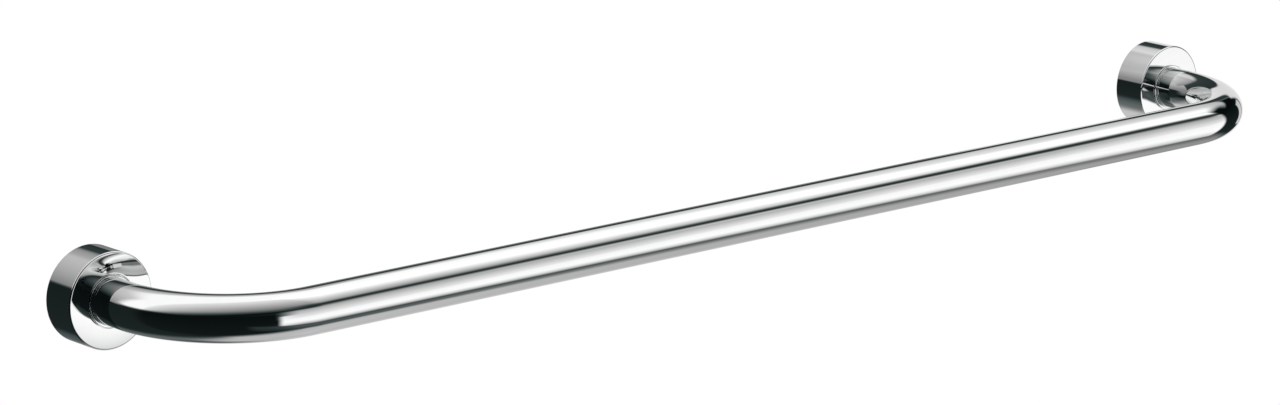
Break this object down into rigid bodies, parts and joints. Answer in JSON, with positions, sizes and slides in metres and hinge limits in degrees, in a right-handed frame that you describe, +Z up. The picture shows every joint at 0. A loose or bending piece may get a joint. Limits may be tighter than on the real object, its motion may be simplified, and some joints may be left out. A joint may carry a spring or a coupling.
{
  "type": "towel rail",
  "caption": "Wall-mounted towel rail: a round chromed tube bent back to the wall at its ends and held in deep round rosettes.",
  "frame": {"origin": "on the wall plane, midway between the centres of the rosettes, which is the centre of the wall screw pattern", "axes": "+X along the bar, +Y into the wall, +Z up"},
  "size_m": [0.8514, 0.1125, 0.0514],
  "materials": {
    "chrome": "polished chrome plating on brass",
    "spring_steel": "oiled spring steel",
    "turned_brass": "turned brass, unplated",
    "zinc_casting": "dull zinc die casting",
    "stainless_screw": "stainless steel"
  },
  "bodies": {
    "root": {"rail_tube": "chrome", "left_rosette": "chrome", "right_rosette": "chrome", "left_neck_ring": "chrome", "right_neck_ring": "chrome", "left_lock_washer": "spring_steel", "right_lock_washer": "spring_steel", "left_ring_nut": "turned_brass", "right_ring_nut": "turned_brass", "left_wall_plate": "zinc_casting", "right_wall_plate": "zinc_casting", "set_screws": "stainless_screw"}
  },
  "joints": []
}
